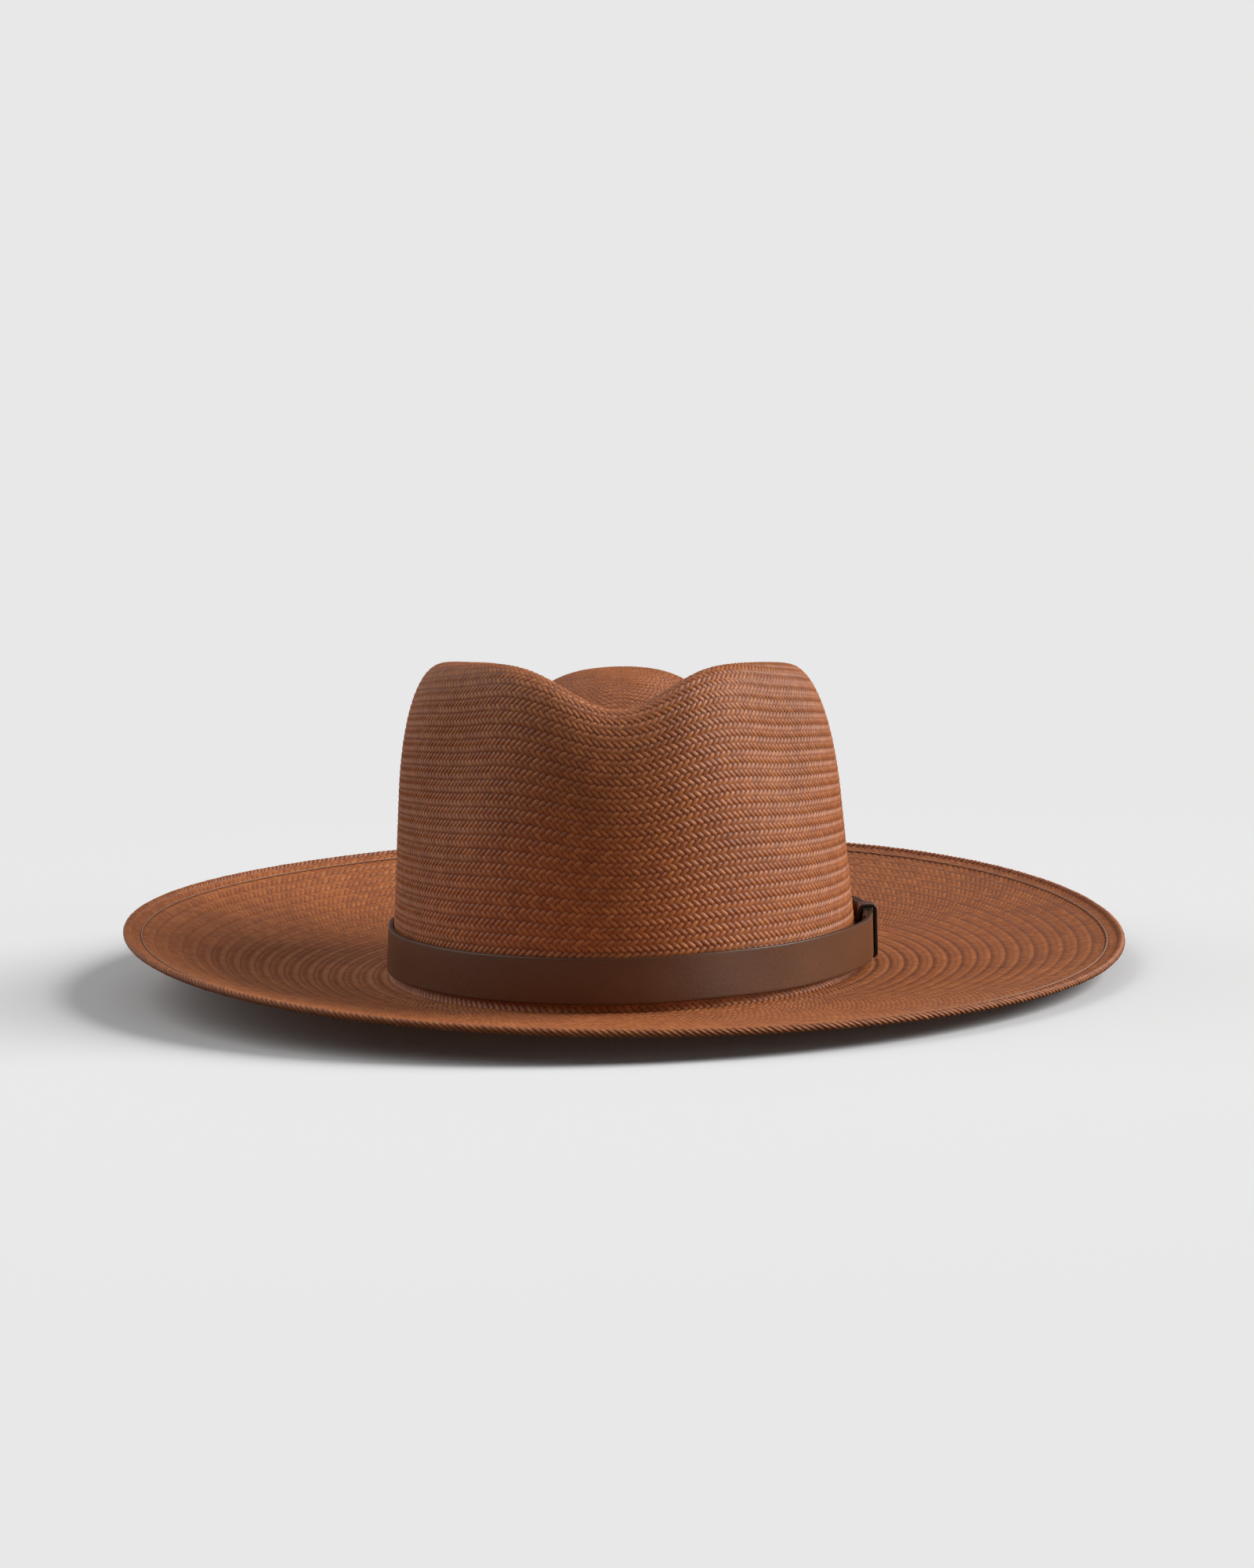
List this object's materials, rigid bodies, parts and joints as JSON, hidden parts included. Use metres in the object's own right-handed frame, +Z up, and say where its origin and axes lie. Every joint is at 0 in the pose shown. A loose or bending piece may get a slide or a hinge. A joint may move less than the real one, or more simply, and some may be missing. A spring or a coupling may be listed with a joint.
{
  "type": "panama hat",
  "caption": "Wide-brim woven straw hat with a dented teardrop crown, a dish-shaped brim with a braided edge, a leather band with a sliding keeper and a leather sweatband.",
  "frame": {"origin": "centre of the head opening, on the surface that the hat rests on", "axes": "+Z up along the crown, -Y towards the front of the hat, +X towards the wearer's left"},
  "size_m": [0.3531, 0.3911, 0.1154],
  "materials": {
    "straw": "woven toquilla straw, dyed cognac brown, low satin sheen",
    "straw_braid": "braided straw edge, the same dye",
    "thread": "matte brown cotton thread",
    "band_leather": "smooth satin leather, dark brown",
    "keeper_leather": "smooth satin leather with dark painted edges",
    "sweatband_leather": "soft matte leather, tan",
    "reed": "matte piping",
    "thread_light": "matte tan thread",
    "tag_cloth": "plain woven tape, blank"
  },
  "bodies": {
    "hat": {"straw_body": "straw", "brim_edge_braid": "straw_braid", "hem_thread": "thread", "hat_band": "band_leather", "band_tacks": "thread", "sweatband": "sweatband_leather", "sweatband_reed": "reed", "sweatband_stitches": "thread_light", "sweatband_seam_stitches": "thread_light", "size_tag": "tag_cloth"},
    "keeper": {"band_keeper": "keeper_leather"}
  },
  "joints": [
    {"name": "keeper_slide", "type": "hinge", "parent": "hat", "child": "keeper", "pos_m": [-0.0394, 0, 0.01205], "axis": [0, 0, 1], "range_deg": [-3.5, 3.5]}
  ]
}
